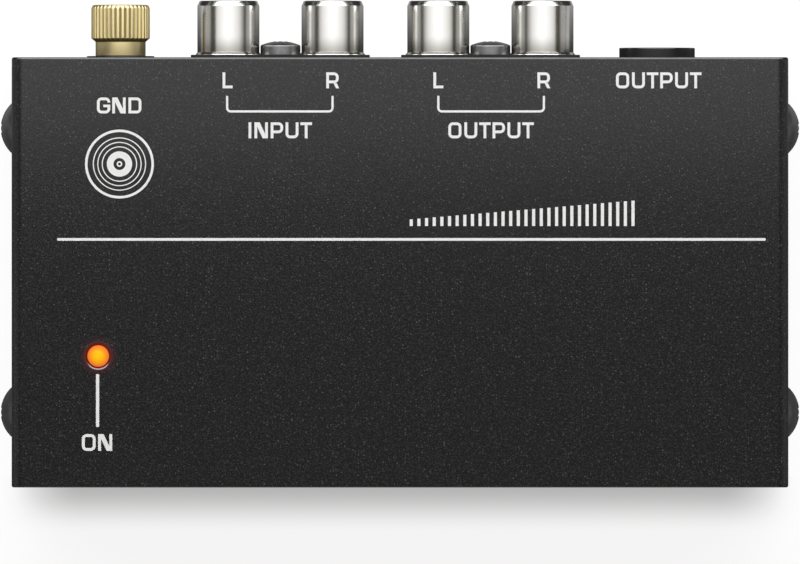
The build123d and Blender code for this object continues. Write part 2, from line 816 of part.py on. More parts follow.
def board_posts():
    """Hexagon posts clinched into the chassis base."""
    post = extrude(RegularPolygon(post_flats / 2, 6, major_radius=False), post_height)
    post += rod(post_shank, shaft_gap - chassis_sheet, 0)
    post -= rod(board_screw_radius + shaft_gap, -chassis_sheet - 1, post_height + 1)
    return group(Pos(x, y, floor_z) * post for x, y in post_places)


def board_screws():
    """Domed screws that hold the board to its posts."""
    blank = screw(
        board_screw_head, board_screw_rim, board_screw_dome, board_screw_radius, board_screw_length
    )
    return group(Pos(x, y, board_top) * blank for x, y in post_places)


# ================================================================ parts on the board
def lead(x, y, high):
    """Round lead from under the board up to a height."""
    return Pos(x, y, 0) * rod(lead_radius, pin_low, high)


def can(radius, height, lead_pitch):
    """Upright can capacitor with a rolled groove and two leads, standing on Z = 0."""
    groove_z = can_groove_height
    outline = (
        (0, 0),
        (radius, 0),
        (radius, groove_z),
        (radius - can_groove, groove_z + can_groove),
        (radius, groove_z + 2 * can_groove),
        (radius, height - can_groove),
        (radius - can_groove, height),
        (0, height),
    )
    body = turned(*outline)
    for side in (-1, 1):
        body += Pos(side * lead_pitch / 2, 0, 0) * rod(lead_radius, pin_low - board_top, 1)
    return body


def small_capacitors():
    """Coupling capacitors in a row."""
    blank = can(small_can_radius, small_can_height, small_can_lead_pitch)
    return group(Pos(x, y, board_top) * blank for x, y in small_can_places)


def large_capacitors():
    """Two reservoir capacitors of the supply."""
    blank = can(large_can_radius, large_can_height, large_can_lead_pitch)
    return group(Pos(x, y, board_top) * blank for x, y in large_can_places)


def box_capacitors():
    """Film capacitors in moulded boxes, four to each channel chip."""
    body = Pos(0, 0, box_cap_height / 2) * Box(box_cap_length, box_cap_width, box_cap_height)
    for side in (-1, 1):
        body += Pos(side * box_cap_lead_pitch / 2, 0, 0) * rod(lead_radius, pin_low - board_top, 1)
    return group(Pos(x, y, board_top) * body for x, y in box_cap_places)


def axial(radius, length, span):
    """Lying round part along Y with two bent leads; its middle is over the origin."""
    axis_z = radius + body_lift
    low = pin_low - board_top
    body = Pos(0, 0, axis_z) * Rot(90, 0, 0) * Cylinder(radius, length)
    wire = Pos(0, 0, axis_z) * Rot(90, 0, 0) * Cylinder(lead_radius, span)
    for side in (-1, 1):
        wire += Pos(0, side * span / 2, 0) * rod(lead_radius, low, axis_z)
        wire += Pos(0, side * span / 2, axis_z) * Sphere(lead_radius)
    return body + wire


def resistors():
    """Row of axial resistors."""
    blank = axial(resistor_radius, resistor_length, resistor_span)
    return group(Pos(x, y, board_top) * blank for x, y in resistor_places)


def diodes():
    """Two axial diodes of the supply, along X."""
    blank = axial(diode_radius, diode_length, diode_span)
    return group(Pos(x, y, board_top) * Rot(0, 0, 90) * blank for x, y in diode_places)


def regulator():
    """Three-lead regulator with a flat face to the front."""
    body = rod(regulator_radius, regulator_lift, regulator_lift + regulator_height)
    front = boxed(
        (-regulator_radius, -2 * regulator_radius, 0),
        (regulator_radius, -regulator_flat, 2 * regulator_height),
    )
    body -= front
    for i in (-1, 0, 1):
        x = i * regulator_lead_pitch
        body += Pos(x, 0, 0) * rod(lead_radius, pin_low - board_top, regulator_lift + 1)
    x, y = regulator_place
    return Pos(x, y, board_top) * body


def chip():
    """Eight-pin amplifier chip with stepped pins, standing on Z = 0."""
    body = boxed(
        (-chip_width / 2, -chip_length / 2, chip_lift), (chip_width / 2, chip_length / 2, chip_height)
    )
    pin_z = chip_height / 2
    for side in (-1, 1):
        for i in range(4):
            y = (i - 1.5) * chip_pin_pitch
            near = side * (chip_width / 2 - chip_pin_sheet)
            knee = side * (chip_width / 2 + chip_pin_shoulder)
            far = side * chip_span / 2
            low = chip_pin_sheet / 2
            points = [(near, pin_z), (knee, pin_z), (knee, low), (far, low)]
            pin = extrude(Plane.XZ * ribbon(points, chip_pin_sheet), chip_pin_width / 2, both=True)
            body += Pos(0, y, 0) * pin
    return body


def amplifier_chips():
    """One double amplifier chip to each stage."""
    blank = chip()
    return group(Pos(x, chip_y, board_top) * blank for x in (input_x, output_x))


input_left_x, input_right_x = socket_places(input_x)
output_left_x, output_right_x = socket_places(output_x)

parts = {
    "top_cover": top_cover(),
    "chassis": chassis(),
    "cover_screws": cover_screws(),
    "rubber_feet": rubber_feet(),
    "ground_stud": ground_stud(),
    "ground_tag": ground_tag(),
    "ground_lock_nut": ground_lock_nut(),
    "ground_washer": ground_washer(),
    "ground_thumb_nut": ground_thumb_nut(),
    "input_jack_plate": jack_plate(input_x),
    "input_jack_block": jack_block(input_x),
    "input_shell_left": shell(input_left_x),
    "input_shell_right": shell(input_right_x),
    "input_insulator_left": insulator(input_left_x),
    "input_insulator_right": insulator(input_right_x),
    "input_centre_contacts": centre_contacts(input_x),
    "input_jack_screw": jack_screw(input_x),
    "input_jack_pins": jack_pins(input_x),
    "output_jack_plate": jack_plate(output_x),
    "output_jack_block": jack_block(output_x),
    "output_shell_left": shell(output_left_x),
    "output_shell_right": shell(output_right_x),
    "output_insulator_left": insulator(output_left_x),
    "output_insulator_right": insulator(output_right_x),
    "output_centre_contacts": centre_contacts(output_x),
    "output_jack_screw": jack_screw(output_x),
    "output_jack_pins": jack_pins(output_x),
    "line_socket_body": line_body(),
    "line_socket_sleeve": line_sleeve(),
    "line_tip_leaf": contact_leaf(1, tip_leaf_root, tip_leaf_contact),
    "line_ring_leaf": contact_leaf(-1, ring_leaf_root, ring_leaf_contact),
    "line_socket_terminals": line_terminals(),
    "power_inlet_body": inlet_body(),
    "power_inlet_pin": inlet_pin(),
    "power_inlet_leaf": inlet_leaf(),
    "power_inlet_terminal": inlet_terminal(),
    "power_lamp": lamp(),
    "power_lamp_leads": lamp_leads(),
    "power_lamp_spacer": lamp_spacer(),
    "circuit_board": circuit_board(),
    "board_posts": board_posts(),
    "board_screws": board_screws(),
    "amplifier_chips": amplifier_chips(),
    "coupling_capacitors": small_capacitors(),
    "supply_capacitors": large_capacitors(),
    "film_capacitors": box_capacitors(),
    "resistors": resistors(),
    "supply_diodes": diodes(),
    "voltage_regulator": regulator(),
}

to_origin = Pos(0, -shell_reach / 2, 0)
os.makedirs("parts", exist_ok=True)
for node, solid in parts.items():
    export_step(to_origin * solid, f"parts/{node}.step")
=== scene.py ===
"""Looks of a small phono preamp in a powder-coated steel case, seen from straight above.

Metres, in the part's own frame, but profiles and strokes are written in millimetres. New pieces are
surfaces worked out with numpy: turned profiles for the sockets, the nut, the screws between the
sockets and the edge of the lamp's hole, and flat strokes for the printing. Every other piece is the
part's own solid with a material.
"""

import json
import math

import bpy
import numpy as np
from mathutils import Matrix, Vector


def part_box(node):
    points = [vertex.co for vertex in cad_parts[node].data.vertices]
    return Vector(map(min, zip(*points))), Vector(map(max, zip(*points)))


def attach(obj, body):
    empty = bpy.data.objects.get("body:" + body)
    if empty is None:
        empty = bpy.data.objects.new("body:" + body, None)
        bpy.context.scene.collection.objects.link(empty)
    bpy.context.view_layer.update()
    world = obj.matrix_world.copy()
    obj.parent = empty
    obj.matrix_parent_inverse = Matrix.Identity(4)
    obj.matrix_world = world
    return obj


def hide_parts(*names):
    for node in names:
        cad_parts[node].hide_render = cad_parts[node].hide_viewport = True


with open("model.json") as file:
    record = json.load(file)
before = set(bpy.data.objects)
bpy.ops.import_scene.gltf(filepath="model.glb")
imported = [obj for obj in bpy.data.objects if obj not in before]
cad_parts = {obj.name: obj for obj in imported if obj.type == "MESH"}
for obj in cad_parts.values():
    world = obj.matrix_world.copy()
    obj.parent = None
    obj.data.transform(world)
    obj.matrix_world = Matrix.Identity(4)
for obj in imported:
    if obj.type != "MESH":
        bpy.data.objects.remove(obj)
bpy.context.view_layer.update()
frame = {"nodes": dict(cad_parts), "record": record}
MM = 0.001
MICRON = 0.001 * MM


# ---------------------------------------------------------------- nodes
class Field:
    """A value that varies over a surface: a node's output. Arithmetic on it adds Math nodes."""

    def __init__(self, nodes, socket):
        self.nodes = nodes
        self.socket = socket

    def math(self, operation, first, second):
        """One Math node on two fields or numbers."""
        return self.nodes.node("ShaderNodeMath", {"operation": operation}, {0: first, 1: second})

    def __add__(self, other):
        return self.math("ADD", self, other)

    def __sub__(self, other):
        return self.math("SUBTRACT", self, other)

    def __mul__(self, other):
        return self.math("MULTIPLY", self, other)

    def __truediv__(self, other):
        return self.math("DIVIDE", self, other)

    def __radd__(self, other):
        return self.math("ADD", other, self)

    def __rsub__(self, other):
        return self.math("SUBTRACT", other, self)

    def __rmul__(self, other):
        return self.math("MULTIPLY", other, self)

    def larger(self, other):
        """The larger of the two at each place."""
        return self.math("MAXIMUM", self, other)

    def rise(self, low, high):
        """0 below low, 1 above high and a smooth step between."""
        inputs = {"Value": self, "From Min": low, "From Max": high}
        return self.nodes.node("ShaderNodeMapRange", {"interpolation_type": "SMOOTHSTEP"}, inputs)

    def part(self, axis):
        """One coordinate of a vector, 0 to 2."""
        return self.nodes.node("ShaderNodeSeparateXYZ", {}, {0: self}, output=axis)


class Nodes:
    """A node tree and the ways to add to it."""

    def __init__(self, tree):
        self.tree = tree

    def join(self, value, socket):
        """Links a field to a socket, or sets the socket's own value."""
        if isinstance(value, Field):
            self.tree.links.new(value.socket, socket)
        else:
            socket.default_value = value

    def node(self, kind, settings, inputs, output=0):
        """A node with its settings made first and its sockets filled; gives one of its outputs.

        The setting stops holds a ramp's stops, each a position and a colour.
        """
        made = self.tree.nodes.new(kind)
        for name, value in settings.items():
            if name == "stops":
                while len(made.color_ramp.elements) < len(value):
                    made.color_ramp.elements.new(1.0)
                for element, (position, colour) in zip(made.color_ramp.elements, value):
                    element.position = position
                    element.color = colour
            else:
                setattr(made, name, value)
        for key, value in inputs.items():
            self.join(value, made.inputs[key])
        return Field(self, made.outputs[output])

    def place(self, spread=(1, 1, 1)):
        """Object coordinates, stretched by spread along each axis."""
        at = self.node("ShaderNodeTexCoord", {}, {}, output="Object")
        return at if spread == (1, 1, 1) else self.vector("MULTIPLY", at, spread)

    def vector(self, operation, first, second=(0, 0, 0), output=0):
        """Vector arithmetic on one vector or two."""
        return self.node("ShaderNodeVectorMath", {"operation": operation}, {0: first, 1: second}, output)

    def noise(self, scale, detail=2.0, roughness=0.5, spread=(1, 1, 1)):
        """Soft noise from 0 to 1, with scale in waves per metre."""
        inputs = {"Vector": self.place(spread), "Scale": scale, "Detail": detail, "Roughness": roughness}
        return self.node("ShaderNodeTexNoise", {}, inputs)

    def mix(self, first, second, factor):
        """A colour between two colours. Inputs 6 and 7 and output 2 are the node's colour sockets."""
        return self.node("ShaderNodeMix", {"data_type": "RGBA"}, {0: factor, 6: first, 7: second}, output=2)

    def away_from(self, middle, across=(1, 1, 0)):
        """Distance from the axis through middle that runs along the direction left out of across."""
        offset = self.vector("SUBTRACT", self.place(), tuple(middle))
        return self.vector("LENGTH", self.vector("MULTIPLY", offset, across), output="Value")

    def bump(self, height, distance, strength):
        """A normal from a height in units of distance, which is in metres."""
        inputs = {"Height": height, "Distance": distance, "Strength": strength}
        return self.node("ShaderNodeBump", {}, inputs)


class Finish(Nodes):
    """A material of one principled shader: fixed values on its own sockets, nodes for what varies."""

    def __init__(self, name, **fixed):
        self.material = bpy.data.materials.new(name)
        self.material.use_nodes = True
        super().__init__(self.material.node_tree)
        self.shader = self.tree.nodes["Principled BSDF"]
        self.feed(**fixed)

    def feed(self, **values):
        """Fills shader sockets, named in lower case with _ for a space."""
        names = {socket.name.lower().replace(" ", "_"): socket for socket in self.shader.inputs}
        for name, value in values.items():
            self.join(value, names[name])


def paint(red, green, blue):
    """A colour with its fourth value."""
    return (red, green, blue, 1.0)


def gray(level):
    """A colour whose red, green and blue are the same."""
    return paint(level, level, level)


# ---------------------------------------------------------------- materials
def powder_coat(name, lit_from=None, corner=None):
    """Dark textured powder coat: fine pebbles in the surface and sparse light flecks in the colour.

    lit_from is the place of a lamp that spills a faint red light on the coat around it. On a folded
    sheet with its rear right corner at corner, the coat has a painted highlight, a lighter line along the
    top's rear edge, and the top begins to fall away just before its two bends.
    """
    coat = Finish(name, specular_ior_level=0.55)
    grain = coat.noise(4600, 2.0, 0.6)
    speck = coat.noise(7400, 1.0)
    cells = {"Vector": coat.place(), "Scale": 2700.0}
    spot = coat.node("ShaderNodeTexVoronoi", {}, cells)
    lot = coat.node("ShaderNodeTexVoronoi", {}, cells, output="Color").part(0)
    fleck = lot.rise(0.6, 1.0) * (1 - spot.rise(0.1, 0.36))
    pebble = grain.rise(0.46, 0.8) * 0.6 + speck.rise(0.51, 0.83) * 0.4
    tone = coat.mix(gray(0.0005), paint(0.064, 0.064, 0.0645), pebble)
    tone = coat.mix(tone, paint(0.09, 0.09, 0.092), fleck)
    height, pebble_depth = grain + fleck * 0.5, 26 * MICRON
    if corner is not None:
        highlight_start, highlight_full = 0.3 * MM, 0.2 * MM  # before the rear edge
        skin_start, skin_full = 0.2 * MM, 0.1 * MM  # under the top face
        fall_start, fall_end = 1.6 * MM, 0.4 * MM  # before the side faces
        fall = 0.33 * MM
        near_rear = coat.place().part(1).rise(corner.y - highlight_start, corner.y - highlight_full)
        near_top = coat.place().part(2).rise(corner.z - skin_start, corner.z - skin_full)
        # painted highlight: a lighter colour along the rounded rear edge of the top, where the light catches
        # it
        tone = coat.mix(tone, gray(0.17), near_rear * near_top * (0.75 + grain * 0.3))
        to_side = coat.vector("ABSOLUTE", coat.place()).part(0)
        height = height - to_side.rise(corner.x - fall_start, corner.x - fall_end) * (fall / pebble_depth)
    coat.feed(
        base_color=tone,
        roughness=0.3 + grain * 0.12,
        normal=coat.bump(height, pebble_depth, 0.8),
    )
    if lit_from is not None:
        # painted glow: the coat's own red emission stands for the lamp's light falling round it
        spill_near, spill_far = 1.5, 2.9  # millimetres from the lamp's axis
        spill = 1 - (coat.away_from(lit_from) / MM).rise(spill_near, spill_far)
        red_light = coat.mix(gray(0), paint(0.035, 0.0008, 0.003), spill)
        coat.feed(emission_color=red_light, emission_strength=1.0)
    return coat.material


def moulded(name, dark, light, roughness, scale=2600, depth=6 * MICRON, level=0.5, **fixed):
    """Moulded plastic or lacquer: slight cloudiness and a fine spark-eroded texture."""
    made = Finish(name, specular_ior_level=level, **fixed)
    texture = made.noise(scale, 3.0, 0.6)
    clouds = made.noise(220)
    made.feed(
        base_color=made.mix(dark, light, clouds),
        roughness=roughness + (texture - 0.5) * 0.12,
        normal=made.bump(texture, depth, 0.6),
    )
    return made.material


def edge_lacquer(name, **fixed):
    """Thin glossy black lacquer on a narrow edge."""
    return moulded(name, gray(0.01), gray(0.016), 0.16, depth=0.5 * MICRON, level=1.0, **fixed)


def metal_marks(metal):
    """The fine marks and the faint clouds on a metal surface."""
    return metal.noise(1500, 4.0, 0.65), metal.noise(260)


def plated(name, dark, light, roughness):
    """Bare or plated metal: faint clouds in the colour and fine marks in the surface."""
    made = Finish(name, metallic=1.0)
    marks, clouds = metal_marks(made)
    made.feed(
        base_color=made.mix(dark, light, clouds),
        roughness=roughness + (marks - 0.5) * roughness * 0.5,
        normal=made.bump(marks, 1.5 * MICRON, 0.5),
    )
    return made.material


def knurled_brass(name, middle, root, tip, ends):
    """Turned brass with a knurl about an axis along Y, painted darker and browner in the grooves as shade.

    root and tip are the radii of the grooves' floor and of the ridges, in millimetres, and ends are
    the knurl's two ends along Y.
    """
    made = Finish(name, metallic=1.0)
    marks, clouds = metal_marks(made)
    radius = made.away_from(middle, (1, 0, 1)) / MM
    along = made.place().part(1)
    soft = 0.1 * MM
    within = along.rise(ends[0] - soft, ends[0]) * (1 - along.rise(ends[1] - soft, ends[1]))
    flank = (root + tip) / 2 + 0.05
    # painted shade: the colour is darker and browner where the grooves sink below the ridges
    groove = within * (1 - radius.rise(root, flank))
    brass = made.mix(paint(0.74, 0.61, 0.31), paint(0.84, 0.71, 0.39), clouds)
    made.feed(
        base_color=made.mix(brass, paint(0.6, 0.46, 0.16), groove),
        roughness=0.42 + (marks - 0.5) * 0.16,
        normal=made.bump(marks, 1.5 * MICRON, 0.5),
    )
    return made.material


def turned_nickel(name, seat):
    """Nickel on a turned tube: tool marks round its axis, along Y, spread what it mirrors lengthwise.

    It has a painted shade, darker over the first millimetres above its flare, which stands at seat along Y.
    """
    made = Finish(name, metallic=1.0)
    marks = made.noise(9000, 2.0, 0.6, (0.03, 1, 0.03))
    clouds = made.noise(260)
    # painted shade: a darker colour low on the tube, just above the flare
    above = (made.place().part(1) - seat) / MM
    flare_top, darkest_shade, bright_again = 0.25, 0.4, 2.8
    base_shade = above.rise(flare_top, darkest_shade) * (1 - above.rise(darkest_shade, bright_again))
    bright = made.mix(paint(0.74, 0.73, 0.7), paint(0.84, 0.83, 0.8), clouds)
    made.feed(
        base_color=made.mix(bright, paint(0.4, 0.39, 0.36), base_shade * 0.95),
        roughness=0.15 + marks * 0.06,
        normal=made.bump(marks, 10 * MICRON, 0.8),
    )
    return made.material


def blackened(name, dark, light, roughness, **fixed):
    """Black oxide on a steel screw: nearly black with a satin sheen and worn places."""
    made = Finish(name, **fixed)
    wear = made.noise(1400, 3.0, 0.6)
    made.feed(
        base_color=made.mix(dark, light, wear.rise(0.3, 0.75)),
        roughness=roughness + wear * 0.12,
        normal=made.bump(wear, 4 * MICRON, 0.5),
    )
    return made.material


def lit_lens(name, middle):
    """Amber lens with the light behind it: yellow in the middle, orange at the edge, dark red beyond it."""
    made = Finish(name, roughness=0.3, specular_ior_level=0.08, emission_strength=0.8)
    grain = made.noise(1800)
    waver, ramp_end = 0.08 * MM, 2 * MM
    radius = (made.away_from(middle) + (grain - 0.5) * waver) / ramp_end
    stops = [
        (0.0, paint(1.0, 0.6, 0.008)),
        (0.3, paint(1.0, 0.5, 0.006)),
        (0.56, paint(1.0, 0.28, 0.02)),
        (0.7, paint(0.95, 0.2, 0.035)),
        (0.74, paint(0.2, 0.01, 0.003)),
        (0.95, paint(0.03, 0.001, 0.001)),
    ]
    glow = made.node("ShaderNodeValToRGB", {"stops": stops}, {0: radius})
    made.feed(base_color=made.mix(glow, gray(0), 0.7 + grain * 0.1), emission_color=glow)
    return made.material


def ink(name):
    """White screen-printing ink: thin, matt, with a faint mottle."""
    made = Finish(name, specular_ior_level=0.3)
    mottle = made.noise(3200, 3.0, 0.6)
    made.feed(
        base_color=made.mix(gray(0.84), gray(0.91), mottle.rise(0.3, 0.6)),
        roughness=0.55 + mottle * 0.2,
        normal=made.bump(mottle, 4 * MICRON, 0.5),
    )
    return made.material


def solder_mask(name):
    """Green solder mask over a fine glass weave."""
    made = Finish(name, specular_ior_level=0.5)
    warp = made.noise(1800, 1.0, 0.5, (1, 0.15, 1))
    weft = made.noise(1800, 1.0, 0.5, (0.15, 1, 1))
    weave = (warp + weft) / 2
    made.feed(
        base_color=made.mix(paint(0.01, 0.11, 0.035), paint(0.025, 0.19, 0.06), weave),
        roughness=0.28 + weave * 0.1,
        normal=made.bump(weave, 8 * MICRON, 0.5),
    )
    return made.material


cover_low, cover_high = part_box("top_cover")
lamp_low, lamp_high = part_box("power_lamp")
LAMP = (lamp_low + lamp_high) / 2
PLATE_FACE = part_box("input_jack_plate")[1].y
FINISHES = {
    "black_case_paint": powder_coat("black_case_paint"),
    "black_screws": blackened(
        "black_screws", paint(0.03, 0.03, 0.031), paint(0.046, 0.046, 0.047), 0.24, specular_ior_level=1.0
    ),
    "bright_brass": plated("bright_brass", paint(0.38, 0.29, 0.13), paint(0.46, 0.36, 0.17), 0.36),
    "dark_steel": plated("dark_steel", paint(0.06, 0.06, 0.062), gray(0.12), 0.4),
    "bright_steel": plated("bright_steel", paint(0.52, 0.52, 0.54), paint(0.66, 0.66, 0.68), 0.3),
    "nickel_plate": turned_nickel("nickel_plate", PLATE_FACE),
    "spring_contact": plated("spring_contact", paint(0.62, 0.5, 0.3), paint(0.74, 0.62, 0.4), 0.3),
    "black_plastic": moulded(
        "black_plastic", paint(0.006, 0.006, 0.007), paint(0.011, 0.011, 0.012), 0.4, level=0.35
    ),
    "white_plastic": moulded("white_plastic", paint(0.72, 0.72, 0.69), paint(0.8, 0.8, 0.77), 0.35),
    "red_plastic": moulded("red_plastic", paint(0.5, 0.012, 0.012), paint(0.62, 0.02, 0.018), 0.35),
    "foot_rubber": moulded("foot_rubber", gray(0.012), gray(0.022), 0.75, scale=3600, depth=20 * MICRON),
    "green_board": solder_mask("green_board"),
    "can_sleeve": moulded("can_sleeve", paint(0.01, 0.013, 0.03), paint(0.016, 0.02, 0.045), 0.3),
    "film_case": moulded("film_case", paint(0.42, 0.03, 0.02), paint(0.52, 0.05, 0.03), 0.4),
    "resistor_body": moulded("resistor_body", paint(0.14, 0.34, 0.5), paint(0.2, 0.42, 0.58), 0.4),
    "amber_lamp": lit_lens("amber_lamp", LAMP),
}
COVER_PAINT = powder_coat("cover_paint", LAMP, cover_high)
JACK_SCREW_BLACK = blackened(
    "satin_black_screws",
    paint(0.17, 0.17, 0.172),
    paint(0.24, 0.24, 0.242),
    0.26,
    metallic=0.85,
    specular_ior_level=0.5,
)
# painted glow: the edge's faint red emission stands for the lamp's light falling on it
LAMP_HOLE_LACQUER_RED_GLOW = edge_lacquer(
    "lamp_edge_lacquer", emission_color=paint(0.05, 0.0015, 0.004), emission_strength=1.0
)
NOSE_LACQUER = edge_lacquer("edge_lacquer")
INK = ink("printing_ink")

for row in frame["record"]["subparts"]:
    mesh = frame["nodes"][row["node"]].data
    mesh.materials.clear()
    mesh.materials.append(COVER_PAINT if row["node"] == "top_cover" else FINISHES[row["material_slot"]])


# ---------------------------------------------------------------- surfaces
def grid_faces(rows, columns, wrap_rows, wrap_columns):
    """Quads of a grid whose points are numbered row by row; a wrapped side meets its first line again."""
    i = np.arange(rows if wrap_rows else rows - 1)[:, None]
    j = np.arange(columns if wrap_columns else columns - 1)[None, :]
    near, far = i * columns, (i + 1) % rows * columns
    right = (j + 1) % columns
    return np.stack(np.broadcast_arrays(near + j, near + right, far + right, far + j), -1).reshape(-1, 4)


def piece(name, points, faces, body, material, stands_for=(), crease=35):
    """A mesh at the origin that rides on a body; edges sharper than crease degrees stay sharp."""
    mesh = bpy.data.meshes.new(name)
    mesh.from_pydata(points.tolist(), [], [list(face) for face in faces])
    mesh.materials.append(material)
    mesh.shade_smooth()
    mesh.set_sharp_from_angle(angle=math.radians(crease))
    made = bpy.data.objects.new(name, mesh)
    bpy.context.scene.collection.objects.link(made)
    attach(made, body)
    if stands_for:
        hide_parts(*stands_for)
    return made


def trace(corners, radius, closed=False, steps=7):
    """A line through corners with each corner rounded to radius: its points and its left normals.

    At a corner with turn angle t, the arc starts radius * tan(t / 2) before it. Its centre lies that
    radius to the inner side, and a point is centre - side * radius * normal, where the normal turns
    evenly from the first run's to the second's. radius is one number or one for each corner.
    """
    corners = np.asarray(corners, float)
    radii = np.broadcast_to(radius, len(corners))
    after = np.roll(corners, -1, 0) - corners
    runs = after if closed else after[:-1]
    runs = runs / np.linalg.norm(runs, axis=1)[:, None]
    normals = np.stack([-runs[:, 1], runs[:, 0]], 1)
    points, sides = [], []
    if not closed:
        points.append(corners[:1])
        sides.append(normals[:1])
    for k in range(0 if closed else 1, len(corners) if closed else len(corners) - 1):
        before, here = normals[k - 1], normals[k]
        turn = math.atan2(before[0] * here[1] - before[1] * here[0], before @ here)
        side = 1.0 if turn > 0 else -1.0
        start = corners[k] - runs[k - 1] * radii[k] * math.tan(abs(turn) / 2)
        angle = np.linspace(0, turn, steps)[:, None]
        across = np.array([-before[1], before[0]])
        normal = before * np.cos(angle) + across * np.sin(angle)
        points.append(start + side * radii[k] * (before - normal))
        sides.append(normal)
    if not closed:
        points.append(corners[-1:])
        sides.append(normals[-1:])
    return np.concatenate(points), np.concatenate(sides)


# ---------------------------------------------------------------- printing
MIDDLE = (cover_low + cover_high) / 2
INK_TOP = cover_high.z + 0.02 * MM
INK_BASE = cover_high.z - 0.01 * MM
PEN = 0.37  # width of a letter's stroke, in millimetres as all that follows here
HALF = PEN / 2
CAP = 2.14  # height of a capital
ROUND = 0.44  # rounding of a stroke's middle line at a letter's corner


def pen(corners, radius=ROUND, closed=False, width=PEN, tip=0.0):
    """A stroke of even width along a rounded line: its two edges, and whether they close.

    With a tip, both ends taper as half an ellipse of that length.
    """
    points, normals = trace(corners, radius, closed)
    half = np.full(len(points), width / 2)
    if tip:
        share = np.array([1.0, 0.92, 0.75, 0.5, 0.2])  # of the tip's length, from the end inwards
        blunt = 0.999  # keeps the last point from closing to nothing
        ends = []
        for end, other in ((0, 1), (-1, -2)):
            along = points[end] - points[other]
            along = along / np.linalg.norm(along)
            spots = points[end] - along * tip * (1 - share[:, None])
            ends.append((spots, np.broadcast_to(normals[end], spots.shape)))
        taper = width / 2 * np.sqrt(1 - share**2 * blunt)
        points = np.concatenate([ends[0][0], points[1:-1], ends[1][0][::-1]])
        normals = np.concatenate([ends[0][1], normals[1:-1], ends[1][1][::-1]])
        half = np.concatenate([taper, half[1:-1], taper[::-1]])
    reach = normals * half[:, None]
    return points + reach, points - reach, closed


def bar(left, low, right, high):
    """An upright rectangle."""
    return np.array([[left, low], [left, high]]), np.array([[right, low], [right, high]]), False


def bowl(width, low):
    """A round-cornered bow that leaves the stem at the letter's top and comes back to it at low."""
    right = width - HALF
    return pen([(PEN, CAP - HALF), (right, CAP - HALF), (right, low + HALF), (PEN, low + HALF)])


def slope(width):
    """The N's sloping stroke between its stems: parallel edges, flat at the top and the foot."""
    inner = width - PEN
    top_right, foot = 0.7, 0.6
    upper = np.array([[top_right, CAP], [inner, foot], [inner, 0]])
    lower = np.array([[PEN, CAP], [PEN, CAP - foot], [width - top_right, 0]])
    return upper, lower, False


def hoop(width):
    """The O's round-cornered box."""
    right, top = width - HALF, CAP - HALF
    return pen([(HALF, HALF), (right, HALF), (right, top), (HALF, top)], closed=True)


def hook(right, upper_end, lower_end):
    """The G's bow, open on the right between the two ends' heights."""
    top = CAP - HALF
    corners = [(right, upper_end), (right, top), (HALF, top), (HALF, HALF), (right, HALF), (right, lower_end)]
    return pen(corners)


def cup(width):
    """The U's bow, open at the top."""
    right = width - HALF
    return pen([(HALF, CAP), (HALF, HALF), (right, HALF), (right, CAP)])


STEM = bar(0, 0, PEN, CAP)
WAIST = 0.68  # underside of the bowl of a P and an R
R_LEG = (np.array([[0.98, WAIST], [1.31, 0]]), np.array([[1.41, WAIST], [1.73, 0]]), False)
# each letter's width, its left and right bearings, and its strokes
LETTERS = {
    "D": (1.74, 0.22, 0.09, [STEM, bowl(1.74, 0)]),
    "G": (1.8, 0.09, 0.1, [hook(1.6, 1.46, 1.18), bar(0.86, 0.84, 1.41, 1.18)]),
    "I": (PEN, 0.24, 0.27, [STEM]),
    "L": (1.34, 0.22, 0.07, [STEM, bar(PEN, 0, 1.34, PEN)]),
    "N": (1.8, 0.15, 0.15, [STEM, bar(1.8 - PEN, 0, 1.8, CAP), slope(1.8)]),
    "O": (1.76, 0.13, 0.16, [hoop(1.76)]),
    "P": (1.67, 0.22, 0.1, [STEM, bowl(1.67, WAIST)]),
    "R": (1.73, 0.23, 0.08, [STEM, bowl(1.67, WAIST), R_LEG]),
    "T": (1.55, 0.025, 0.025, [bar(0, CAP - PEN, 1.55, CAP), bar(0.775 - HALF, 0, 0.775 + HALF, CAP - PEN)]),
    "U": (1.73, 0.225, 0.225, [cup(1.73)]),
}


def printed(name, strokes, at=(0, 0), size=1.0):
    """One flat printed piece. Each stroke's section is a thin rectangle carried along its two edges.

    at is the place of the strokes' origin in millimetres from the middle of the cover.
    """
    all_points, all_faces, count = [], [], 0
    for first, second, closed in strokes:
        edges = [np.asarray(edge, float) * size + at for edge in (first, second)]
        edges = [edge * MM + (MIDDLE.x, MIDDLE.y) for edge in edges]
        rows = len(edges[0])
        corners = ((edges[0], INK_TOP), (edges[1], INK_TOP), (edges[1], INK_BASE), (edges[0], INK_BASE))
        section = [np.column_stack([edge, np.full(rows, z)]) for edge, z in corners]
        points = np.stack(section, 1).reshape(-1, 3)
        faces = grid_faces(rows, 4, closed, True).tolist()
        if not closed:
            last = (rows - 1) * 4
            faces += [[0, 3, 2, 1], [last, last + 1, last + 2, last + 3]]
        all_points.append(points)
        all_faces += [[index + count for index in face] for face in faces]
        count += len(points)
    return piece(name, np.concatenate(all_points), all_faces, "case", INK)


def word(name, text, middle, size=1.0):
    """A word of capitals, centred on a place in millimetres from the middle of the cover."""
    left, strokes, previous = 0.0, [], None
    for letter in text:
        width, before, after, shapes = LETTERS[letter]
        left += 0 if previous is None else before + previous
        shift = np.array([left, 0.0])
        strokes += [(first + shift, second + shift, closed) for first, second, closed in shapes]
        left += width
        previous = after
    corner = (middle[0] - left * size / 2, middle[1] - CAP * size / 2)
    return printed(name, strokes, corner, size)


def ring(middle, radius, width, corners=48):
    """A printed ring: its edges are circles about the middle."""
    angle = np.linspace(0, 2 * np.pi, corners, endpoint=False)[:, None]
    spoke = np.concatenate([np.cos(angle), np.sin(angle)], 1)
    return middle + spoke * (radius - width / 2), middle + spoke * (radius + width / 2), True


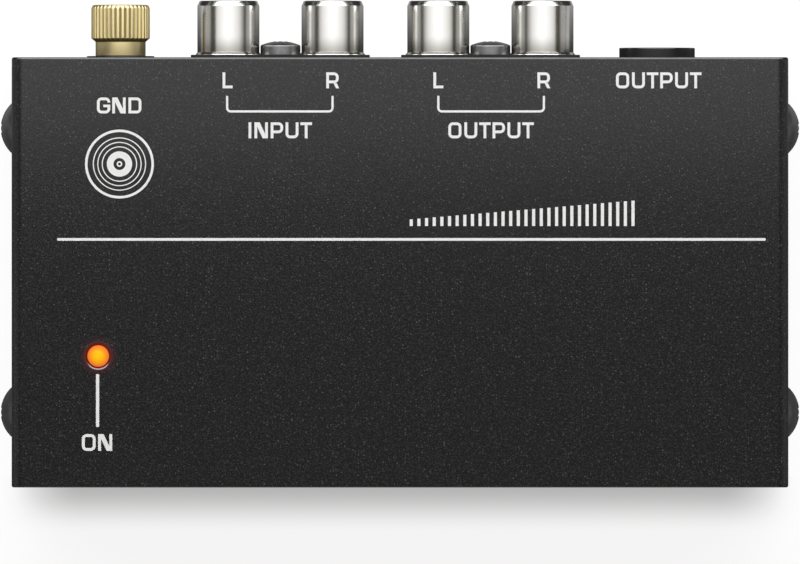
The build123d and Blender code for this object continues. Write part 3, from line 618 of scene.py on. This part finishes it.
TOP_ROW, PAIR_ROW, GROUND_ROW, ON_ROW = 25.7, 19.01, 22.34, -22.77
ON_CAP = 2.25
word("print_ground", "GND", (-37.59, GROUND_ROW))
word("print_input_left", "L", (-23.08, TOP_ROW))
word("print_input_right", "R", (-9.01, TOP_ROW))
word("print_input", "INPUT", (-16.03, PAIR_ROW))
word("print_output_left", "L", (5.14, TOP_ROW))
word("print_output_right", "R", (19.26, TOP_ROW))
word("print_output", "OUTPUT", (12.19, PAIR_ROW))
word("print_line_output", "OUTPUT", (34.63, TOP_ROW))
word("print_on", "ON", (-40.55, ON_ROW), ON_CAP / CAP)

BRACKET_TOP, BRACKET_LOW = 23.64, 21.54
for pair, left_x, right_x in (("input", -23.14, -9.03), ("output", 5.13, 19.26)):
    path = [(left_x, BRACKET_TOP), (left_x, BRACKET_LOW), (right_x, BRACKET_LOW), (right_x, BRACKET_TOP)]
    printed(f"print_{pair}_bracket", [pen(path, radius=0.5, width=0.3, tip=0.12)])
DIVIDER_LEFT, DIVIDER_RIGHT, DIVIDER_Y = -45.9, 48.97, 4.41
printed("print_divider", [pen([(DIVIDER_LEFT, DIVIDER_Y), (DIVIDER_RIGHT, DIVIDER_Y)], width=0.37, tip=0.18)])
TICK_X, TICK_LOW, TICK_HIGH = -40.48, -20.7, -13.61
printed("print_lamp_tick", [pen([(TICK_X, TICK_LOW), (TICK_X, TICK_HIGH)], width=0.44, tip=0.14)])

RECORD = np.array([-37.55, 14.5])
GROOVES = ((4.45, 0.34), (3.5, 0.14), (2.9, 0.14), (2.3, 0.14), (1.25, 0.9), (0.28, 0.2))  # radius and width
printed("print_record_symbol", [ring(RECORD, radius, width) for radius, width in GROOVES])

SCALE_LEFT, SCALE_RIGHT, SCALE_LOW, SCALE_HIGH = 1.3, 31.4, 6.2, 9.6
BAR_COUNT, BAR_WIDTH, FIRST_BAR = 30, 0.42, 0.9
growth = SCALE_HIGH - SCALE_LOW - FIRST_BAR
scale_bars = [
    bar(x, SCALE_LOW, x + BAR_WIDTH, SCALE_LOW + FIRST_BAR + growth * k / (BAR_COUNT - 1))
    for k, x in enumerate(np.linspace(SCALE_LEFT, SCALE_RIGHT - BAR_WIDTH, BAR_COUNT))
]
printed("print_level_scale", scale_bars)


# ---------------------------------------------------------------- turned pieces
def rounded(profile, steps):
    """A closed loop of (radius, height), from rows of radius, height and that corner's rounding."""
    rows = np.array(profile, float)
    return trace(rows[:, :2], rows[:, 2], closed=True, steps=steps)[0]


def revolved(outline, steps, groove=None):
    """A closed loop of (radius, height) carried round an axis: x = r cos a, y = r sin a, z = height.

    groove gives the largest radius over the angle, and cuts every point that lies outside it.
    """
    outline = np.asarray(outline, float)
    angle = np.linspace(0, 2 * np.pi, steps, endpoint=False)[None, :]
    radius = np.broadcast_to(outline[:, :1], (len(outline), steps))
    if groove is not None:
        radius = np.minimum(radius, groove(angle))
    height = np.broadcast_to(outline[:, 1:], radius.shape)
    points = np.stack([radius * np.cos(angle), radius * np.sin(angle), height], -1).reshape(-1, 3)
    return points, grid_faces(len(outline), steps, True, True)


def rearward(points, x, y, z):
    """Millimetre points about an axis along +Y, at a place in metres: (x, y, z) gets (px, pz, -py)."""
    turned = np.stack([points[:, 0], points[:, 2], -points[:, 1]], 1)
    return turned * MM + (x, y, z)


def phono_shell(name):
    """Drawn socket shell: a tube with a small flare on the plate and a lip rolled over to the inside."""
    low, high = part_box(name)
    middle = (low + high) / 2
    plate_top = (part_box(name.split("_")[0] + "_jack_plate")[1].y - low.y) / MM
    fuller, shorter, wall = 0.05, 0.06, 0.55
    outer, length = (high.x - low.x) / 2 / MM + fuller, (high.y - low.y) / MM - shorter
    inner = outer - wall
    flare, flare_shoulder, flare_edge, flare_height = 0.24, 0.2, 0.12, 0.36
    lip_height, lip_shoulder, lip_fall, lip_inset = 0.66, 0.27, 0.06, 0.4
    curl, curl_height = 0.12, 0.7
    profile = [
        (inner, 0, 0.1),
        (outer, 0, 0.1),
        (outer, plate_top, 0.01),
        (outer + flare, plate_top, 0.03),
        (outer + flare_shoulder, plate_top + flare_edge, 0.04),
        (outer, plate_top + flare_height, 0.12),
        (outer, length - lip_height, 0.1),
        (outer - lip_shoulder, length - lip_fall, 0.1),
        (outer - lip_inset, length, 0.1),
        (inner - curl, length, 0.1),
        (inner, length - curl_height, 0.3),
    ]
    points, faces = revolved(rounded(profile, steps=6), 128)
    at = rearward(points, middle.x, low.y, middle.z)
    return piece(name + "_drawn", at, faces, "case", FINISHES["nickel_plate"], [name], 50)


for pair in ("input", "output"):
    for side in ("left", "right"):
        phono_shell(f"{pair}_shell_{side}")


def thumb_nut():
    """Knurled brass nut.

    At the angle a, its knurl takes depth * ((1 + cos(count * a)) / 2) ^ narrow off the largest radius.
    """
    low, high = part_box("ground_thumb_nut")
    middle = (low + high) / 2
    fuller = 0.06
    head, height = (high.x - low.x) / 2 / MM + fuller, (high.y - low.y) / MM
    collar, collar_height, bore, countersink = 3.37, 1.97, 2.0, 0.25
    neck, neck_height = 0.06, 0.1
    knurl_low, knurl_high = collar_height + 0.43, height - 0.47
    bevel, bevel_fall, face_inset = 0.22, 0.06, 0.45
    depth, narrow, count, steps_each = 0.22, 3.0, 36, 16
    profile = [
        (bore, 0, 0.02),
        (collar, 0, 0.12),
        (collar, collar_height - neck_height, 0.05),
        (collar + neck, collar_height, 0.05),
        (head, knurl_low, 0.08),
        (head, knurl_high, 0.1),
        (head - bevel, height - bevel_fall, 0.1),
        (head - face_inset, height, 0.1),
        (bore + countersink, height, 0.04),
        (bore, height - countersink, 0.04),
    ]

    def grooved(angle):
        return head - depth * ((1 + np.cos(count * angle)) / 2) ** narrow

    points, faces = revolved(rounded(profile, steps=4), count * steps_each, grooved)
    at = rearward(points, middle.x, low.y, middle.z)
    ends = (low.y + collar_height * MM, low.y + knurl_high * MM)
    brass = knurled_brass("knurled_brass", middle, head - depth, head, ends)
    name = "ground_thumb_nut_knurled"
    return piece(name, at, faces, "ground_thumb_nut", brass, ["ground_thumb_nut"], 40)


thumb_nut().visible_glossy = False


def jack_screw(name):
    """Pan-head screw with a cross recess, its rows of points running from the shank's end into the recess.

    The recess's outline at an angle a from an arm is the nearer of the arm's end, reach / cos a, and
    its side, half / sin a. Over the head, a row's radius goes from the round rim to that outline in
    even shares, and its height is the dome's, crown - r^2 / (2 * ball).
    """
    low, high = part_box(name)
    middle = (low + high) / 2
    shank, rim, shoulder, crown, ball = 1.2, 2.69, 2.4, 1.9, 6.24
    chamfer, corner, corner_height, corner_turn = 0.06, rim - shoulder, 1.14, np.radians(70)
    reach, half, depth, taper, floor_radius = 1.45, 0.4, 0.9, 0.9, 0.3
    wall_depth, floor_depth = depth * 0.75, depth * 1.3
    right_angle, tiny = np.pi / 2, 1e-6
    arm_end = math.atan2(half, reach)
    quarter = np.linspace(0, right_angle, 24, endpoint=False)
    quarter = np.unique(np.concatenate([quarter, [arm_end, right_angle - arm_end]]))
    angle = (np.arange(4)[:, None] * right_angle + quarter).ravel()
    folded = np.minimum(angle % right_angle, right_angle - angle % right_angle)
    outline = np.minimum(reach / np.cos(folded), half / np.maximum(np.sin(folded), tiny))

    def dome(radius):
        return crown - radius**2 / (2 * ball)

    rows = [(shank, (low.y - PLATE_FACE) / MM), (shank, 0.0), (rim - chamfer, 0.0), (rim, chamfer)]
    turn = np.linspace(0, corner_turn, 6)
    rows += [(shoulder + corner * math.cos(t), corner_height + corner * math.sin(t)) for t in turn]
    dome_edge = rows[-1][0]
    steady = np.array(rows)[:, :, None] * np.ones_like(angle)
    shares = np.array([0.15, 0.32, 0.49, 0.66, 0.83, 1.0])[:, None]
    over = dome_edge + (outline - dome_edge) * shares
    inside = np.stack([outline * taper, np.full_like(outline, floor_radius)])
    inside_height = np.stack([dome(outline) - wall_depth, np.full_like(outline, crown - floor_depth)])
    radius = np.concatenate([steady[:, 0], over, inside])
    height = np.concatenate([steady[:, 1], dome(over), inside_height])
    spoke = angle + np.pi / 4
    points = np.stack([radius * np.cos(spoke), radius * np.sin(spoke), height], -1).reshape(-1, 3)
    row_count, columns = radius.shape
    last = (row_count - 1) * columns
    faces = grid_faces(row_count, columns, False, True).tolist()
    faces += [list(range(columns))[::-1], list(range(last, last + columns))]
    at = rearward(points, middle.x, PLATE_FACE, middle.z)
    return piece(name + "_turned", at, faces, "case", JACK_SCREW_BLACK, [name], 35)


for pair in ("input", "output"):
    jack_screw(f"{pair}_jack_screw")


def lamp_hole_edge():
    """Painted edge of the lamp's hole, turned over to the inside: a ring with a sloped and rounded top."""
    inner, outer, flat = 1.62, 1.96, 0.12
    low, inner_top, top = -0.5, -0.075, 0.012
    profile = [
        (inner, low, 0.01),
        (outer, low, 0.01),
        (outer, top, 0.01),
        (outer - flat, top, 0.1),
        (inner, inner_top, 0.04),
    ]
    points, faces = revolved(rounded(profile, steps=6), 72)
    at = points * MM + (LAMP.x, LAMP.y, cover_high.z)
    return piece("lamp_hole_edge", at, faces, "case", LAMP_HOLE_LACQUER_RED_GLOW)


lamp_hole_edge()


def line_nose_edge():
    """Rounded outer edge of the line socket's nose: a ring whose outer corner is a quarter round."""
    low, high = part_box("line_socket_body")
    outer, width = 5.09, 0.2
    profile = [
        (outer - width, -width, 0.01),
        (outer, -width, 0.01),
        (outer, 0, 0.13),
        (outer - width, 0, 0.02),
    ]
    points, faces = revolved(rounded(profile, steps=6), 128)
    socket_z = sum(corner.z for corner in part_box("input_shell_left")) / 2
    at = rearward(points, (low.x + high.x) / 2, high.y, socket_z)
    return piece("line_socket_nose_edge", at, faces, "case", NOSE_LACQUER)


line_nose_edge()


# ---------------------------------------------------------------- stage, lights and camera
def floor_material():
    """Pale floor that shows white and keeps a soft shadow.

    Besides the real shadow in its faint diffuse part, a painted shadow in its glow is deepest under the
    case and along the foot of its front. In gloss, painted shade makes it darker round the case, most so
    to the front, and nearly black behind the sockets. From below, it is clear.
    """
    half_size = (cover_high - cover_low) / 2
    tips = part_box("input_shell_left")[1].y
    shade_reach, contact_reach, dark_reach = (0.1, 0.35), (0.001, 0.014), (0.5, 1.2)  # from the case
    foot_start, foot_reach = (-2.0, -0.5), (0.0, 6.5)  # ahead of its front, in millimetres
    material = bpy.data.materials.new("floor_paint")
    material.use_nodes = True
    made = Nodes(material.node_tree)
    made.tree.nodes.clear()
    camera_ray = made.node("ShaderNodeLightPath", {}, {}, output="Is Camera Ray")
    glossy_ray = made.node("ShaderNodeLightPath", {}, {}, output="Is Glossy Ray")
    through_ray = made.node("ShaderNodeLightPath", {}, {}, output="Is Transmission Ray")
    seen = camera_ray.larger(glossy_ray).larger(through_ray)

    along = made.place().part(1)
    offset = made.vector("ABSOLUTE", made.vector("SUBTRACT", made.place(), (MIDDLE.x, MIDDLE.y, 0)))
    outside = made.vector("MAXIMUM", made.vector("SUBTRACT", offset, (half_size.x, half_size.y, 1)))
    beyond = made.vector("LENGTH", outside, output="Value")
    near = glossy_ray * (1 - beyond.rise(*shade_reach))
    contact = 1 - beyond.rise(*contact_reach)
    to_rear = along.rise(0.0, 60 * MM)
    behind = glossy_ray * along.rise(tips + 1 * MM, tips + 9 * MM) * (1 - beyond.rise(*dark_reach))
    ahead = (cover_low.y - along) / MM
    beside = offset.part(0).rise(half_size.x - 9 * MM, half_size.x + 3 * MM)
    foot = ahead.rise(*foot_start) * (1 - ahead.rise(*foot_reach)) * (1 - beside)
    inset = made.vector("SUBTRACT", offset, (half_size.x - 4 * MM, half_size.y - 4 * MM, 1))
    under = 1 - made.vector("LENGTH", made.vector("MAXIMUM", inset), output="Value").rise(0.0, 3.6 * MM)

    # painted shade seen in gloss round the case and behind the sockets, and a painted shadow under the case
    # and along its front; faint is darkened there too
    shade = made.mix(gray(0.15), paint(1.0, 1.0, 0.98), to_rear)
    shade = made.mix(shade, gray(0.06), contact)
    tone = made.mix(gray(1), gray(0.45), foot)
    tone = made.mix(tone, gray(0.06), under)
    tone = made.mix(tone, shade, near)
    tone = made.mix(tone, paint(0.015, 0.015, 0.014), behind)
    glow = made.node("ShaderNodeEmission", {}, {"Color": tone, "Strength": 0.87})
    faint = made.mix(gray(0.22), gray(0.5), foot)
    faint = made.mix(faint, gray(0.02), near.larger(behind).larger(under))
    dim = made.node("ShaderNodeBsdfDiffuse", {}, {"Color": faint})
    bright = made.node("ShaderNodeAddShader", {}, {0: dim, 1: glow})
    matt = made.node("ShaderNodeBsdfDiffuse", {}, {"Color": gray(0.65)})
    surface = made.node("ShaderNodeMixShader", {}, {0: seen, 1: matt, 2: bright})
    below = made.node("ShaderNodeNewGeometry", {}, {}, output="Backfacing")
    clear = made.node("ShaderNodeBsdfTransparent", {}, {})
    surface = made.node("ShaderNodeMixShader", {}, {0: below, 1: surface, 2: clear})
    made.join(surface, made.tree.nodes.new("ShaderNodeOutputMaterial").inputs["Surface"])
    return material


FLOOR_HALF, FLOOR_Z = 4.0, -0.02 * MM
floor_corners = [(x * FLOOR_HALF, y * FLOOR_HALF, FLOOR_Z) for x, y in ((-1, -1), (1, -1), (1, 1), (-1, 1))]
floor_mesh = bpy.data.meshes.new("floor")
floor_mesh.from_pydata(floor_corners, [], [(0, 1, 2, 3)])
floor_mesh.materials.append(floor_material())
floor = bpy.data.objects.new("floor", floor_mesh)
bpy.context.scene.collection.objects.link(floor)


def studio_world():
    """Room that lights the part: pale low down, dark in a band above that, and gray overhead.

    It is a little lighter to the rear, but nearly black low down there. A camera ray sees it white.
    """
    world = bpy.data.worlds.new("studio")
    world.use_nodes = True
    sky = Nodes(world.node_tree)
    sky.tree.nodes.clear()
    direction = sky.node("ShaderNodeTexCoord", {}, {}, output="Generated")
    to_rear, height = direction.part(1), direction.part(2)
    stops = [
        (0.0, gray(0.42)),
        (0.3, gray(0.4)),
        (0.39, paint(0.055, 0.05, 0.026)),
        (0.66, paint(0.055, 0.05, 0.026)),
        (0.73, gray(0.2)),
        (1.0, gray(0.2)),
    ]
    room = sky.node("ShaderNodeValToRGB", {"stops": stops}, {0: height})
    room = sky.mix(room, gray(0.85), to_rear.rise(0.0, 0.9) * 0.25)
    low_rear = to_rear.rise(0.3, 0.55) * (1 - height.rise(0.34, 0.42))
    room = sky.mix(room, paint(0.012, 0.012, 0.011), low_rear)
    to_camera = sky.node("ShaderNodeLightPath", {}, {}, output="Is Camera Ray")
    light = sky.node("ShaderNodeBackground", {}, {"Color": sky.mix(room, gray(1), to_camera)})
    sky.join(light, sky.tree.nodes.new("ShaderNodeOutputWorld").inputs["Surface"])
    return world


bpy.context.scene.world = studio_world()


def soft_light(name, place, aim, width, height, radiance):
    """Area light at a place, turned to an aim, with a given brightness of its face."""
    lamp = bpy.data.lights.new(name, "AREA")
    lamp.shape = "RECTANGLE"
    lamp.size, lamp.size_y = width, height
    lamp.energy = radiance * math.pi * width * height
    made = bpy.data.objects.new(name, lamp)
    made.location = place
    made.rotation_euler = (Vector(aim) - Vector(place)).to_track_quat("-Z", "Y").to_euler()
    made.visible_camera = False
    bpy.context.scene.collection.objects.link(made)
    return made


CASE_HEART = (0, 0, 0.02)
OVER_REAR, BELOW_IT = (0, 0.079, 0.084), (0, 0.079, 0)
reflector = soft_light("rear_reflector", OVER_REAR, BELOW_IT, width=0.19, height=0.13, radiance=0.545)
reflector.visible_diffuse = False
reflector.data.spread = math.radians(125)
soft_light("rear_key", (0, 0.45, 0.45), CASE_HEART, width=1.6, height=0.3, radiance=4.6)
soft_light("front_fill", (0, -0.7, 0.25), CASE_HEART, width=0.6, height=0.3, radiance=1.1)

LENS, SENSOR = 1150.0, 36.0
FRAME_WIDTH = 107.08 * MM  # what the view spans at the height of the cover
VIEW_SHIFT = -1.292 * MM  # along Y, from the middle of the cover
camera = bpy.data.cameras.new("camera")
camera.lens, camera.sensor_width = LENS, SENSOR
camera.clip_start, camera.clip_end = 0.1, 20.0
camera_object = bpy.data.objects.new("camera", camera)
camera_object.location = (0, MIDDLE.y + VIEW_SHIFT, cover_high.z + FRAME_WIDTH * LENS / SENSOR)
bpy.context.scene.collection.objects.link(camera_object)
bpy.context.scene.camera = camera_object
bpy.context.scene.view_settings.view_transform = "Standard"
